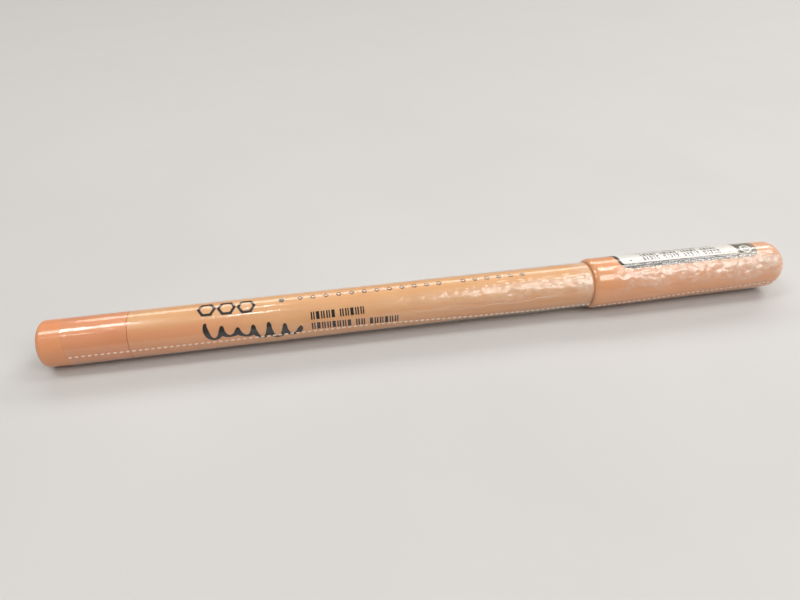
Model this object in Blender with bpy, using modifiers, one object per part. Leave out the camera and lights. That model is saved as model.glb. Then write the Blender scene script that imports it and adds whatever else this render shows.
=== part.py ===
"""A capped cosmetic liner pencil in a perforated clear shrink sleeve.

The pencil lies on its side along X. Its tail points to -X and the closed end of its cap to +X.
The origin is on the surface that it lies on, below the middle of its length.
Stations are distances from the tail end along the pencil, and radii are distances from its axis.
"""

import math

import bpy

MM = 0.001

# Overall layout along the pencil
TOTAL_LENGTH = 137.4 * MM
SEAM = 14.7 * MM
CAP_LIP = 96.9 * MM
FACETS = 36

# Barrel
BARREL_RADIUS = 4.0 * MM
SEAM_GAP = 0.06 * MM
SEAM_CHAMFER = 0.08 * MM
NOSE_START = 116.0 * MM
NOSE_END = 125.6 * MM
NOSE_RADIUS = 2.0 * MM
CORE_BORE_RADIUS = 1.8 * MM
PLUG_BORE_RADIUS = 2.7 * MM
PLUG_BORE_END = 24.5 * MM
SNAP_STATION = 19.6 * MM
SNAP_LENGTH = 0.8 * MM
SNAP_HEIGHT = 0.15 * MM

# Core
CORE_RADIUS = 1.75 * MM
CORE_START = 24.8 * MM
CORE_CONE_START = 126.2 * MM
CORE_CONE_RADIUS = 0.9 * MM
CORE_TIP_START = 129.0 * MM
CORE_TIP = 129.6 * MM

# Tail plug
PLUG_CLEARANCE = 0.05 * MM
PLUG_END = 23.9 * MM
PLUG_LEAD_IN = 0.5 * MM
PLUG_HOLLOW_RADIUS = 1.4 * MM
PLUG_HOLLOW_START = 2.4 * MM
TAIL_ROUNDING = 1.4 * MM
TAIL_FLAT_RADIUS = 1.9 * MM

# Cap shell
CAP_LIP_RADIUS = 4.15 * MM
CAP_LIP_SETBACK = 0.15 * MM
CAP_BEVEL_LENGTH = 1.05 * MM
CAP_RADIUS = 4.69 * MM
CAP_FAR_RADIUS = 4.48 * MM
CAP_ROUNDING = 3.6 * MM
CAP_FLAT_RADIUS = 1.6 * MM
CAP_MOUTH_RADIUS = 4.08 * MM
CAP_GRIP_RADIUS = 4.03 * MM
CAP_GRIP_STATION = 99.4 * MM
CAP_GRIP_LENGTH = 0.8 * MM
CAP_SOCKET_RADIUS = 3.85 * MM
CAP_SOCKET_START = 116.9 * MM
CAP_SOCKET_END = 135.5 * MM
CAP_SOCKET_CHAMFER = 0.6 * MM

# Inner seal
SEAL_START = 119.0 * MM
SEAL_END = 135.2 * MM
SEAL_RADIUS = 3.8 * MM
SEAL_BORE_RADIUS = 3.15 * MM
SEAL_FLOOR = 134.8 * MM
SEAL_SEAT_GAP = 0.05 * MM
SEAL_SEAT_LENGTH = 1.0 * MM
SEAL_CHAMFER = 0.6 * MM

# Label, counted in whole facets so that it lies flat on the cap
LABEL_START = 102.6 * MM
LABEL_END = 131.4 * MM
LABEL_FIRST_FACET = 6
LABEL_FACETS = 14
LABEL_GAP = 0.01 * MM
LABEL_THICKNESS = 0.04 * MM

# Sleeve, a tube with broad flats. Its gaps and its thickness are measured at the middle of a flat
FILM_FACETS = 16
FILM_THICKNESS = 0.06 * MM
FILM_ON_BARREL = 0.04 * MM
FILM_ON_CAP = 0.06 * MM
FILM_START = 4.0 * MM
FILM_PART_LINE = 0.03 * MM
FILM_END_POINTS = 5

# The sleeve's lowest flat, on the cap's widest ring, touches the surface
AXIS_HEIGHT = CAP_RADIUS + FILM_ON_CAP + FILM_THICKNESS

CAP_COPPER = (0.80, 0.38, 0.18, 1.0)
TAIL_COPPER = (0.76, 0.31, 0.145, 1.0)
TAN_GOLD = (0.80, 0.46, 0.21, 1.0)
DEEP_COPPER = (0.62, 0.24, 0.12, 1.0)
NATURAL_WHITE = (0.86, 0.85, 0.82, 1.0)
LABEL_BLACK = (0.03, 0.03, 0.03, 1.0)
CLEAR = (0.95, 0.95, 0.96, 0.25)


def clear_scene():
    """Empties the file, so that a second run starts afresh."""
    for item in list(bpy.data.objects):
        bpy.data.objects.remove(item, do_unlink=True)


def make_collection(name):
    collection = bpy.data.collections.new(name)
    bpy.context.scene.collection.children.link(collection)
    return collection


def make_material(name, colour, roughness, metallic=0.0):
    """A Principled BSDF with one colour; its fourth value is the opacity."""
    material = bpy.data.materials.new(name)
    material.use_nodes = True
    shader = material.node_tree.nodes["Principled BSDF"]
    shader.inputs["Base Color"].default_value = colour
    shader.inputs["Roughness"].default_value = roughness
    shader.inputs["Metallic"].default_value = metallic
    shader.inputs["Alpha"].default_value = colour[3]
    material.diffuse_color = colour
    return material


def make_axis(name, station, collection, parent=None):
    """An empty on the pencil's axis. Its local Z runs along the pencil, and its local X points down."""
    axis = bpy.data.objects.new(name, None)
    collection.objects.link(axis)
    if parent:
        axis.parent = parent
        axis.location = (0.0, 0.0, station)
    else:
        axis.location = (station - TOTAL_LENGTH / 2, 0.0, AXIS_HEIGHT)
        axis.rotation_euler = (0.0, math.pi / 2, 0.0)
    return axis


def rounded_end(end, depth, radius, flat_radius, direction, points=9, power=2.5):
    """Stations and radii of a squarish rounded end, from its straight side to its flat middle.

    direction is +1 where the end faces the cap's side and -1 where it faces the tail's side.
    """
    line = []
    last_angle = math.acos((flat_radius / radius) ** (power / 2))
    deepest = math.sin(last_angle) ** (2 / power)
    for step in range(points):
        angle = last_angle * step / (points - 1)
        along = depth * (1 - math.sin(angle) ** (2 / power) / deepest)
        across = radius * math.cos(angle) ** (2 / power)
        line.append((end - direction * along, across))
    return line


def offset_line(line, distance):
    """Moves an open line of (station, radius) points sideways, away from the axis side of the part.

    The line runs from the cap's closed end towards the tail.
    """
    moved = []
    for index, (station, radius) in enumerate(line):
        before = line[max(index - 1, 0)]
        after = line[min(index + 1, len(line) - 1)]
        run = after[0] - before[0]
        rise = after[1] - before[1]
        length = math.hypot(run, rise)
        moved.append((station + distance * rise / length, radius - distance * run / length))
    return moved


def make_profile(name, line, base, collection):
    """An outline in the XZ plane at +X. It is closed unless both its ends are on the axis."""
    on_axis = line[0][1] == 0.0 and line[-1][1] == 0.0
    corners = [(radius, 0.0, station - base) for station, radius in line]
    edges = [(index, index + 1) for index in range(len(corners) - 1)]
    if not on_axis and len(corners) > 2:
        edges.append((len(corners) - 1, 0))
    mesh = bpy.data.meshes.new(name)
    mesh.from_pydata(corners, edges, [])
    item = bpy.data.objects.new(name, mesh)
    collection.objects.link(item)
    return item


def add_screw(item, angle, steps):
    screw = item.modifiers.new("turn", "SCREW")
    screw.angle = angle
    screw.steps = steps
    screw.render_steps = steps
    screw.screw_offset = 0.0
    screw.use_merge_vertices = True
    screw.merge_threshold = 0.001 * MM
    screw.use_smooth_shade = True


def turned(name, line, base, material, axis, collection, facets=FACETS):
    """A solid of revolution from (station, radius) points, down its outer side and back up its inner side.

    The radii are those of its corners, and the middle of a facet faces down.
    """
    item = make_profile(name, line, base, collection)
    item.parent = axis
    item.location = (0.0, 0.0, base)
    item.rotation_euler = (0.0, 0.0, math.pi / facets)
    item.data.materials.append(material)
    add_screw(item, math.tau, facets)
    return item


def film_tube(name, line, base, material, axis, collection):
    """A part of the sleeve from (station, distance) points, with distances taken at the middle of a flat."""
    corners = [(station, distance / math.cos(math.pi / FILM_FACETS)) for station, distance in line]
    return turned(name, corners, base, material, axis, collection, FILM_FACETS)


def nose_radius(station):
    """The barrel's radius at a station on its sharpened nose."""
    share = (station - NOSE_START) / (NOSE_END - NOSE_START)
    return BARREL_RADIUS + share * (NOSE_RADIUS - BARREL_RADIUS)


def cap_radius(station):
    """The cap's outer radius on its straight taper, between the lip's bevel and the rounded end."""
    near = CAP_LIP + CAP_LIP_SETBACK + CAP_BEVEL_LENGTH
    far = TOTAL_LENGTH - CAP_ROUNDING
    share = (station - near) / (far - near)
    return CAP_RADIUS + share * (CAP_FAR_RADIUS - CAP_RADIUS)


def cap_bevel(points=6):
    """The rounded bevel at the cap's lip, from the taper down to the lip's face."""
    line = []
    face = CAP_LIP + CAP_LIP_SETBACK
    for step in range(points):
        angle = math.pi / 2 * (1 - step / (points - 1))
        along = CAP_BEVEL_LENGTH * (1 - math.cos(angle))
        across = (CAP_RADIUS - CAP_LIP_RADIUS) * math.sin(angle)
        line.append((face + along, CAP_LIP_RADIUS + across))
    return line


def cap_outside():
    """The cap's outer line from the flat middle of its closed end to its lip."""
    closed_end = rounded_end(TOTAL_LENGTH, CAP_ROUNDING, CAP_FAR_RADIUS, CAP_FLAT_RADIUS, 1)
    return closed_end[::-1] + cap_bevel()


def snap_ring(station, length, radius, height):
    """A raised ring on a straight stretch, with sloping flanks, from its far side to its near side."""
    slope = abs(height)
    return [
        (station + length, radius),
        (station + length - slope, radius + height),
        (station + slope, radius + height),
        (station, radius),
    ]


def build_barrel(material, axis, collection):
    """The tube from the seam to the sharpened nose, bored for the core and counterbored for the plug."""
    shoulder = SEAM + SEAM_GAP
    outside = [
        (NOSE_END, NOSE_RADIUS),
        (NOSE_START, BARREL_RADIUS),
        (shoulder + SEAM_CHAMFER, BARREL_RADIUS),
        (shoulder, BARREL_RADIUS - SEAM_CHAMFER),
    ]
    groove = snap_ring(SNAP_STATION, SNAP_LENGTH, PLUG_BORE_RADIUS, SNAP_HEIGHT)[::-1]
    inside = [
        (shoulder, PLUG_BORE_RADIUS),
        *groove,
        (PLUG_BORE_END, PLUG_BORE_RADIUS),
        (PLUG_BORE_END, CORE_BORE_RADIUS),
        (NOSE_END, CORE_BORE_RADIUS),
    ]
    return turned("barrel", outside + inside, SEAM, material, axis, collection)


def build_core(material, axis, collection):
    """The coloured core, with its sharpened point."""
    line = [
        (CORE_TIP, 0.0),
        (CORE_TIP, 0.3 * CORE_CONE_RADIUS),
        (CORE_TIP - 0.15 * MM, 0.65 * CORE_CONE_RADIUS),
        (CORE_TIP_START, CORE_CONE_RADIUS),
        (CORE_CONE_START, CORE_RADIUS),
        (CORE_START, CORE_RADIUS),
        (CORE_START, 0.0),
    ]
    return turned("liner_core", line, CORE_START, material, axis, collection)


def build_tail_plug(material, axis, collection):
    """The cored-out plug: a flush tail section with a stepped spigot that snaps into the barrel."""
    spigot_radius = PLUG_BORE_RADIUS - PLUG_CLEARANCE
    ring = snap_ring(SNAP_STATION, SNAP_LENGTH, spigot_radius, SNAP_HEIGHT)
    tail_end = rounded_end(0.0, TAIL_ROUNDING, BARREL_RADIUS, TAIL_FLAT_RADIUS, -1)
    line = [
        (PLUG_HOLLOW_START, 0.0),
        (PLUG_HOLLOW_START, PLUG_HOLLOW_RADIUS),
        (PLUG_END, PLUG_HOLLOW_RADIUS),
        (PLUG_END, spigot_radius - PLUG_LEAD_IN),
        (PLUG_END - PLUG_LEAD_IN, spigot_radius),
        *ring,
        (SEAM, spigot_radius),
        (SEAM, BARREL_RADIUS - SEAM_CHAMFER),
        (SEAM - SEAM_CHAMFER, BARREL_RADIUS),
        *tail_end,
        (0.0, 0.0),
    ]
    return turned("tail_plug", line, 0.0, material, axis, collection)


def build_cap_shell(material, axis, collection):
    """The cap: tapered outside with a bevelled lip, and inside a mouth, a grip ring and a socket."""
    grip_height = CAP_GRIP_RADIUS - CAP_MOUTH_RADIUS
    grip_ring = snap_ring(CAP_GRIP_STATION, CAP_GRIP_LENGTH, CAP_MOUTH_RADIUS, grip_height)[::-1]
    inside = [
        (CAP_LIP + CAP_LIP_SETBACK, CAP_MOUTH_RADIUS),
        *grip_ring,
        (CAP_SOCKET_START, CAP_MOUTH_RADIUS),
        (CAP_SOCKET_START + (CAP_MOUTH_RADIUS - CAP_SOCKET_RADIUS), CAP_SOCKET_RADIUS),
        (CAP_SOCKET_END - CAP_SOCKET_CHAMFER, CAP_SOCKET_RADIUS),
        (CAP_SOCKET_END, CAP_SOCKET_RADIUS - CAP_SOCKET_CHAMFER),
        (CAP_SOCKET_END, 0.0),
    ]
    line = [(TOTAL_LENGTH, 0.0)] + cap_outside() + inside
    return turned("cap_shell", line, CAP_LIP, material, axis, collection)


def build_cap_seal(material, axis, collection):
    """The inner cup. Its conical seat closes on the nose, and the core's point stays in its hollow."""
    seat_radius = nose_radius(SEAL_START) + SEAL_SEAT_GAP
    line = [
        (SEAL_END, 0.0),
        (SEAL_END, SEAL_RADIUS - SEAL_CHAMFER),
        (SEAL_END - SEAL_CHAMFER, SEAL_RADIUS),
        (SEAL_START, SEAL_RADIUS),
        (SEAL_START, seat_radius),
        (SEAL_START + SEAL_SEAT_LENGTH, nose_radius(SEAL_START + SEAL_SEAT_LENGTH) + SEAL_SEAT_GAP),
        (SEAL_START + 2 * SEAL_SEAT_LENGTH, SEAL_BORE_RADIUS),
        (SEAL_FLOOR, SEAL_BORE_RADIUS),
        (SEAL_FLOOR, 0.0),
    ]
    return turned("cap_inner_seal", line, SEAL_START, material, axis, collection)


def build_cap_label(material, axis, collection):
    """The wrap label, a sheet on the top of the cap that covers whole facets."""
    gap = LABEL_GAP
    line = [
        (LABEL_END, cap_radius(LABEL_END) + gap),
        (LABEL_START, cap_radius(LABEL_START) + gap),
    ]
    label = make_profile("cap_label", line, LABEL_START, collection)
    label.parent = axis
    label.location = (0.0, 0.0, LABEL_START)
    facet_angle = math.tau / FACETS
    label.rotation_euler = (0.0, 0.0, (LABEL_FIRST_FACET + 0.5) * facet_angle)
    label.data.materials.append(material)
    add_screw(label, facet_angle * LABEL_FACETS, LABEL_FACETS)
    sheet = label.modifiers.new("sheet", "SOLIDIFY")
    sheet.thickness = LABEL_THICKNESS
    sheet.offset = 1.0
    sheet.use_even_offset = True
    return label


def build_barrel_film(material, axis, collection):
    """The sleeve's long part, over the plug and the barrel up to the cap's lip."""
    inner = BARREL_RADIUS + FILM_ON_BARREL
    outer = inner + FILM_THICKNESS
    line = [
        (CAP_LIP - FILM_PART_LINE, outer),
        (FILM_START, outer),
        (FILM_START, inner),
        (CAP_LIP - FILM_PART_LINE, inner),
    ]
    return film_tube("barrel_film", line, FILM_START, material, axis, collection)


def build_cap_film(material, axis, collection):
    """The sleeve's part over the cap. It hugs the lip's bevel and turns over the rounded end."""
    covered = cap_outside()[FILM_END_POINTS:]
    lip_inner = (CAP_LIP + FILM_PART_LINE, BARREL_RADIUS + FILM_ON_BARREL)
    lip_outer = (CAP_LIP + FILM_PART_LINE, BARREL_RADIUS + FILM_ON_BARREL + FILM_THICKNESS)
    outside = offset_line(covered, FILM_ON_CAP + FILM_THICKNESS)[:-1]
    inside = offset_line(covered, FILM_ON_CAP)[:-1]
    line = outside + [lip_outer, lip_inner] + inside[::-1]
    return film_tube("cap_film", line, CAP_LIP, material, axis, collection)


def main():
    clear_scene()
    parts = make_collection("capped_liner_pencil")
    tan = make_material("barrel_plastic", TAN_GOLD, 0.35)
    copper_cap = make_material("cap_plastic", CAP_COPPER, 0.3)
    copper_tail = make_material("tail_plastic", TAIL_COPPER, 0.2)
    pigment = make_material("core_wax", DEEP_COPPER, 0.6)
    natural = make_material("seal_plastic", NATURAL_WHITE, 0.5)
    label_paper = make_material("label_paper", LABEL_BLACK, 0.35)
    barrel_clear = make_material("barrel_film_clear", CLEAR, 0.08)
    cap_clear = make_material("cap_film_clear", CLEAR, 0.08)

    pencil_axis = make_axis("pencil_axis", 0.0, parts)
    build_barrel(tan, pencil_axis, parts)
    build_core(pigment, pencil_axis, parts)
    build_tail_plug(copper_tail, pencil_axis, parts)
    build_barrel_film(barrel_clear, pencil_axis, parts)

    cap_slide = make_axis("cap_slide", 0.0, parts, parent=pencil_axis)
    build_cap_shell(copper_cap, cap_slide, parts)
    build_cap_seal(natural, cap_slide, parts)
    build_cap_label(label_paper, cap_slide, parts)
    build_cap_film(cap_clear, cap_slide, parts)


main()
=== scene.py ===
"""The looks of the capped liner pencil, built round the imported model.

Places along the pencil are stations: millimetres from its tail end. Places round it are elevations:
degrees, 0 at the front (-Y), 90 at the top, 180 at the back and -90 at the bottom.
"""
import math

import bmesh
import bpy
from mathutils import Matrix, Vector, noise


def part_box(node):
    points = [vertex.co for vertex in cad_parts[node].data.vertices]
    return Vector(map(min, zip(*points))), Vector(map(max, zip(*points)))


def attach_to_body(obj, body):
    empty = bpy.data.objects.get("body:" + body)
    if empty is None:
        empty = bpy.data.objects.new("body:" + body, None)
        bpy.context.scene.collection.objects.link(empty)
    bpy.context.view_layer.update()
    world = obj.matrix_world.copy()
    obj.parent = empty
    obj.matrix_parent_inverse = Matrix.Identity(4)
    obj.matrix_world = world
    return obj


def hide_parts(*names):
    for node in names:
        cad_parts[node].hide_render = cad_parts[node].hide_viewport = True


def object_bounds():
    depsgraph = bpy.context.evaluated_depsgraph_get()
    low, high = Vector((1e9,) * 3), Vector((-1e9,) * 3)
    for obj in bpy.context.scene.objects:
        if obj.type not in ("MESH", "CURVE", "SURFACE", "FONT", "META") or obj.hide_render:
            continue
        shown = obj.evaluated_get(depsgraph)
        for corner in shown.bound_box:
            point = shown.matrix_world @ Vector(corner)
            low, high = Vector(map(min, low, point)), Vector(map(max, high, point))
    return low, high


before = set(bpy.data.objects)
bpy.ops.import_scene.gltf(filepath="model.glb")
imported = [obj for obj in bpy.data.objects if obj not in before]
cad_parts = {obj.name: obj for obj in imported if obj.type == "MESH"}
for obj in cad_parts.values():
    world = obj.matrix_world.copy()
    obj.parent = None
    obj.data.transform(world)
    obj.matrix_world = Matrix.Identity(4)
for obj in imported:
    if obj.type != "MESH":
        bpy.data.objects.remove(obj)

CAD_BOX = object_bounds()
MM = 0.001

# Places that the imported parts give
TAIL_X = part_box("tail_plug")[0].x
BARREL_LOW, BARREL_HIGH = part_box("barrel")
AXIS_Z = (BARREL_LOW.z + BARREL_HIGH.z) / 2
SEAM = (BARREL_LOW.x - TAIL_X) / MM
NOSE_END = (BARREL_HIGH.x - TAIL_X) / MM
PLUG_END = (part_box("tail_plug")[1].x - TAIL_X) / MM
CORE_START = (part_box("liner_core")[0].x - TAIL_X) / MM
CORE_TIP = (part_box("liner_core")[1].x - TAIL_X) / MM
CAP_FACE = (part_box("cap_shell")[0].x - TAIL_X) / MM
CAP_END = (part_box("cap_shell")[1].x - TAIL_X) / MM
SEAL_START = (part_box("cap_inner_seal")[0].x - TAIL_X) / MM
SEAL_END = (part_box("cap_inner_seal")[1].x - TAIL_X) / MM
LABEL_START = (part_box("cap_label")[0].x - TAIL_X) / MM
LABEL_END = (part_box("cap_label")[1].x - TAIL_X) / MM
SLEEVE_START = (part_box("barrel_film")[0].x - TAIL_X) / MM
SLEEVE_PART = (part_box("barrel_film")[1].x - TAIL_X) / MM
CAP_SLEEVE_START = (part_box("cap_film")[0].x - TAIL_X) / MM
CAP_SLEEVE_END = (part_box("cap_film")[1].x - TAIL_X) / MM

# Radii and lengths of the turned pieces, in millimetres, as in the CAD model
BARREL_RADIUS = 4.0
SEAM_CHAMFER = 0.08
SEAM_GAP = 0.06
NOSE_LENGTH = 9.6
NOSE_RADIUS = 2.0
NOSE_CHAMFER = 0.06
CORE_RADIUS = 1.75
CORE_CONE_LENGTH = 3.5
CORE_CONE_RADIUS = 0.9
CORE_BORE_RADIUS = 1.8
PLUG_BORE_RADIUS = 2.7
PLUG_BORE_SPARE = 0.6
PLUG_FIT_GAP = 0.05
PLUG_TIP_CHAMFER = 0.5
PLUG_HOLLOW_START = 2.4
PLUG_HOLLOW_RADIUS = 1.4
TAIL_ROUNDING = 1.4
TAIL_FLAT_RADIUS = 1.9
CAP_LIP_RADIUS = 4.15
CAP_BEVEL_LENGTH = 1.05
CAP_RADIUS = 4.69
CAP_FAR_RADIUS = 4.48
CAP_ROUNDING = 3.6
CAP_FLAT_RADIUS = 1.6
CAP_MOUTH_RADIUS = 4.08
CAP_MOUTH_CHAMFER = 0.03
GRIP_RING_START = 99.4
GRIP_RING_END = 100.2
GRIP_RING_SLOPE = 0.1
GRIP_RING_RADIUS = 4.03
CAP_SOCKET_RADIUS = 3.85
CAP_SOCKET_START = 116.9
CAP_SOCKET_END = 135.5
CAP_SOCKET_STEP = 0.23
CAP_SOCKET_CHAMFER = 0.6
SEAL_RADIUS = 3.8
SEAL_BORE_RADIUS = 3.15
SEAL_FLOOR = 0.4
SEAL_NOSE_GAP = 0.05

# The camera, from the pencil's axis, in millimetres and degrees
CAMERA_STATION = 45.5
CAMERA_FRONT = 84.75
CAMERA_HEIGHT = 65.9
CAMERA_YAW = 10.44
CAMERA_PITCH = 36.99
CAMERA_LENS = 26.73

# Faces round a turned piece and across a printed stroke
ROUND = 144
STROKE_CELLS = 4


# ---------------------------------------------------------------- numbers

def ease(value, low, high):
    """0 below low and 1 above high, with a smooth rise between."""
    share = min(max((value - low) / (high - low), 0.0), 1.0)
    return share * share * (3 - 2 * share)


def window(value, low, high, fade):
    """1 between low and high, fading to 0 within fade outside them."""
    return ease(value, low - fade, low) * (1 - ease(value, high, high + fade))


def between(value, knots):
    """A smooth line through (place, height) knots."""
    for (start, first), (end, last) in zip(knots, knots[1:]):
        if value <= end:
            return first + (last - first) * ease(value, start, end)
    return knots[-1][1]


def place(station, radius, elevation):
    """The point at a station, a radius in millimetres and an elevation in degrees."""
    angle = math.radians(elevation)
    across = radius * MM
    return (TAIL_X + station * MM, -across * math.cos(angle), AXIS_Z + across * math.sin(angle))


def noise_place(station, radius, elevation, stretch=1.0):
    """A point in millimetres for a noise that closes round the pencil. stretch draws it out lengthwise."""
    angle = math.radians(elevation)
    return Vector((station / stretch, radius * math.cos(angle), radius * math.sin(angle)))


# ---------------------------------------------------------------- meshes

def finish_mesh(name, points, faces, materials, sharp=35.0):
    """A mesh object with its faces pointing out, shaded smooth except across sharp edges."""
    mesh = bpy.data.meshes.new(name)
    mesh.from_pydata(points, [], faces)
    sheet = bmesh.new()
    sheet.from_mesh(mesh)
    bmesh.ops.recalc_face_normals(sheet, faces=sheet.faces)
    sheet.to_mesh(mesh)
    sheet.free()
    for material in materials:
        mesh.materials.append(material)
    mesh.shade_smooth()
    mesh.set_sharp_from_angle(angle=math.radians(sharp))
    piece = bpy.data.objects.new(name, mesh)
    bpy.context.scene.collection.objects.link(piece)
    return piece


def lathe(name, line, material, around=ROUND):
    """A turned solid from (station, radius) points. The line is closed unless it starts on the axis."""
    points = []
    rings = []
    for station, radius in line:
        first = len(points)
        if radius == 0.0:
            points.append(place(station, 0.0, 0.0))
            rings.append([first] * around)
        else:
            points += [place(station, radius, 360.0 * step / around) for step in range(around)]
            rings.append(list(range(first, first + around)))
    pairs = list(zip(rings, rings[1:]))
    if line[0][1] > 0.0:
        pairs.append((rings[-1], rings[0]))
    faces = []
    for ring, following in pairs:
        for step in range(around):
            after = (step + 1) % around
            corners = [ring[step], ring[after], following[after], following[step]]
            faces.append(list(dict.fromkeys(corners)))
    return finish_mesh(name, points, faces, [material])


def slab(rows, bottom, top, points, faces):
    """Adds a curved slab to points and faces. rows is a grid of (station, elevation), and bottom and top
    give its two radii at a station."""
    first = len(points)
    count = len(rows)
    width = len(rows[0])
    for surface in (bottom, top):
        for row in rows:
            points += [place(station, surface(station), elevation) for station, elevation in row]

    def index(layer, row, column):
        return first + (layer * count + row) * width + column

    for row in range(count - 1):
        for column in range(width - 1):
            for layer in (0, 1):
                faces.append([
                    index(layer, row, column),
                    index(layer, row + 1, column),
                    index(layer, row + 1, column + 1),
                    index(layer, row, column + 1),
                ])
    rim = [(0, column) for column in range(width)]
    rim += [(row, width - 1) for row in range(1, count)]
    rim += [(count - 1, column) for column in range(width - 2, -1, -1)]
    rim += [(row, 0) for row in range(count - 2, 0, -1)]
    for here, after in zip(rim, rim[1:] + rim[:1]):
        faces.append([index(0, *here), index(0, *after), index(1, *after), index(1, *here)])


def panel_rows(start, end, low, high, corner, steps, across):
    """Grid rows for a round-cornered panel on the cap, between two stations and two elevation lines."""
    rows = []
    for step in range(steps + 1):
        station = start + (end - start) * (1 - math.cos(math.pi * step / steps)) / 2
        inset = 0.0
        depth = min(station - start, end - station)
        if depth < corner:
            inset = corner - math.sqrt(max(corner ** 2 - (corner - depth) ** 2, 0.0))
        lean = math.degrees(inset / CAP_RADIUS)
        bottom = low(station) + lean
        top = high(station) - lean
        rows.append([(station, bottom + (top - bottom) * column / across) for column in range(across + 1)])
    return rows


def stroke_rows(path, widths, radius=BARREL_RADIUS):
    """Grid rows for a brush stroke along (station, elevation) points, widths mm wide."""
    rows = []
    turn = math.degrees(1 / radius)
    for index, (station, elevation) in enumerate(path):
        before = path[max(index - 1, 0)]
        after = path[min(index + 1, len(path) - 1)]
        run = after[0] - before[0]
        rise = (after[1] - before[1]) / turn
        length = math.hypot(run, rise) or 1.0
        row = []
        for column in range(STROKE_CELLS + 1):
            side = widths[index] * (column / STROKE_CELLS - 0.5)
            row.append((station - side * rise / length, elevation + side * run / length * turn))
        rows.append(row)
    return rows


def tube_shell(name, stations, inside, relief, thickness, materials, edge_rows=(1, 1)):
    """A thin wrinkled tube. inside gives its inner radius at a station, and relief how far it stands off.

    The stations run from edge to edge, and each is a function of elevation. The second material goes on
    the edge_rows first and last rows.
    """
    points = []
    faces = []
    count = len(stations)
    for layer in (0.0, thickness):
        for line in stations:
            for step in range(ROUND):
                elevation = -90.0 + 360.0 * step / ROUND
                station = line(elevation)
                radius = inside(station) + relief(station, elevation) + layer
                points.append(place(station, radius, elevation))
    size = count * ROUND
    for row in range(count - 1):
        for step in range(ROUND):
            here = row * ROUND + step
            after = row * ROUND + (step + 1) % ROUND
            for layer in (0, size):
                faces.append([layer + here, layer + after, layer + after + ROUND, layer + here + ROUND])
    for row in (0, count - 1):
        for step in range(ROUND):
            here = row * ROUND + step
            after = row * ROUND + (step + 1) % ROUND
            faces.append([here, after, size + after, size + here])
    shell = finish_mesh(name, points, faces, materials, sharp=60.0)
    near = 2 * ROUND * edge_rows[0]
    far = 2 * ROUND * (count - 1 - edge_rows[1])
    sides = 2 * ROUND * (count - 1)
    for index, face in enumerate(shell.data.polygons):
        if index < near or far <= index < sides or index >= sides:
            face.material_index = len(materials) - 1
    return shell


# ---------------------------------------------------------------- materials

# Each colour's light and deep tone
TAN = ((0.80, 0.475, 0.235, 1), (0.71, 0.375, 0.165, 1))
# A deeper, warmer tone, painted on the barrel's lower half as shade
TAN_PAINTED_SHADE = (0.75, 0.335, 0.16, 1)
COPPER = ((0.82, 0.39, 0.18, 1), (0.75, 0.33, 0.145, 1))
TAIL_COPPER = ((0.76, 0.335, 0.165, 1), (0.69, 0.28, 0.13, 1))
SEAL_WHITE = ((0.82, 0.81, 0.77, 1), (0.76, 0.75, 0.72, 1))
BLACK_INK = ((0.004, 0.004, 0.004, 1), (0.010, 0.009, 0.009, 1))
GREY_INK = ((0.05, 0.045, 0.045, 1), (0.10, 0.09, 0.085, 1))
LABEL_BLACK = ((0.012, 0.012, 0.014, 1), (0.02, 0.02, 0.022, 1))
LABEL_WHITE = ((0.86, 0.86, 0.83, 1), (0.80, 0.80, 0.77, 1))
CORE_WAX = ((0.46, 0.17, 0.08, 1.0), (0.34, 0.11, 0.05, 1.0))
# The film's edges: partly stress whitening, partly a painted highlight
FILM_EDGE_AND_GLINT = ((0.95, 0.80, 0.69, 1.0), (0.88, 0.68, 0.56, 1.0))
STRESSED_FILM = ((0.92, 0.79, 0.68, 1.0), (0.82, 0.65, 0.53, 1.0))
FLOOR_PAINT = ((0.56, 0.56, 0.555, 1.0), (0.53, 0.53, 0.53, 1.0))

# The clear film: the least and most that it mirrors, and how white it is where it is smooth
FILM_MIRROR = (0.035, 0.40)
CLEAR_FILM_HAZE = 0.006
FILM_TINT = (0.995, 0.992, 0.99, 1.0)
FILM_MILK = (1.0, 0.90, 0.77, 1.0)


def new_material(name):
    material = bpy.data.materials.new(name)
    material.use_nodes = True
    material.node_tree.nodes.clear()
    return material, material.node_tree


def add(tree, kind, inputs=None, **settings):
    """A node with settings, and inputs given as plain values or as other nodes' sockets."""
    node = tree.nodes.new(kind)
    for key, value in settings.items():
        setattr(node, key, value)
    for key, value in (inputs or {}).items():
        if isinstance(value, bpy.types.NodeSocket):
            tree.links.new(value, node.inputs[key])
        else:
            node.inputs[key].default_value = value
    return node


def surface_noise(tree, scale, detail=3.0, roughness=0.5, distortion=0.0):
    """Noise in the piece's own space, with a scale per metre for each axis."""
    where = add(tree, "ShaderNodeTexCoord")
    mapped = add(tree, "ShaderNodeMapping", {"Vector": where.outputs["Object"], "Scale": scale})
    pattern = add(tree, "ShaderNodeTexNoise", {
        "Vector": mapped.outputs[0], "Scale": 1.0, "Detail": detail,
        "Roughness": roughness, "Distortion": distortion,
    })
    return pattern.outputs["Fac"]


def spread(tree, value, low, high, to_low=0.0, to_high=1.0):
    """Maps a value's range from low..high to to_low..to_high."""
    return add(tree, "ShaderNodeMapRange", {
        "Value": value, "From Min": low, "From Max": high, "To Min": to_low, "To Max": to_high,
    }).outputs[0]


def blended(tree, share, first, second):
    return add(tree, "ShaderNodeMixRGB", {"Fac": share, "Color1": first, "Color2": second}).outputs[0]


def bump(tree, height, strength, distance):
    """A bump normal; strength is a value or a socket."""
    node = add(tree, "ShaderNodeBump", {"Height": height, "Strength": strength, "Distance": distance})
    return node.outputs[0]


def close_material(tree, shader):
    add(tree, "ShaderNodeOutputMaterial", {"Surface": shader})


def fading(tree, value, low, high):
    """0 at low and 1 at high, smoothly, and the other way round where low is above high."""
    return add(tree, "ShaderNodeMapRange", {"Value": value, "From Min": low, "From Max": high},
               interpolation_type="SMOOTHSTEP").outputs[0]


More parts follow.
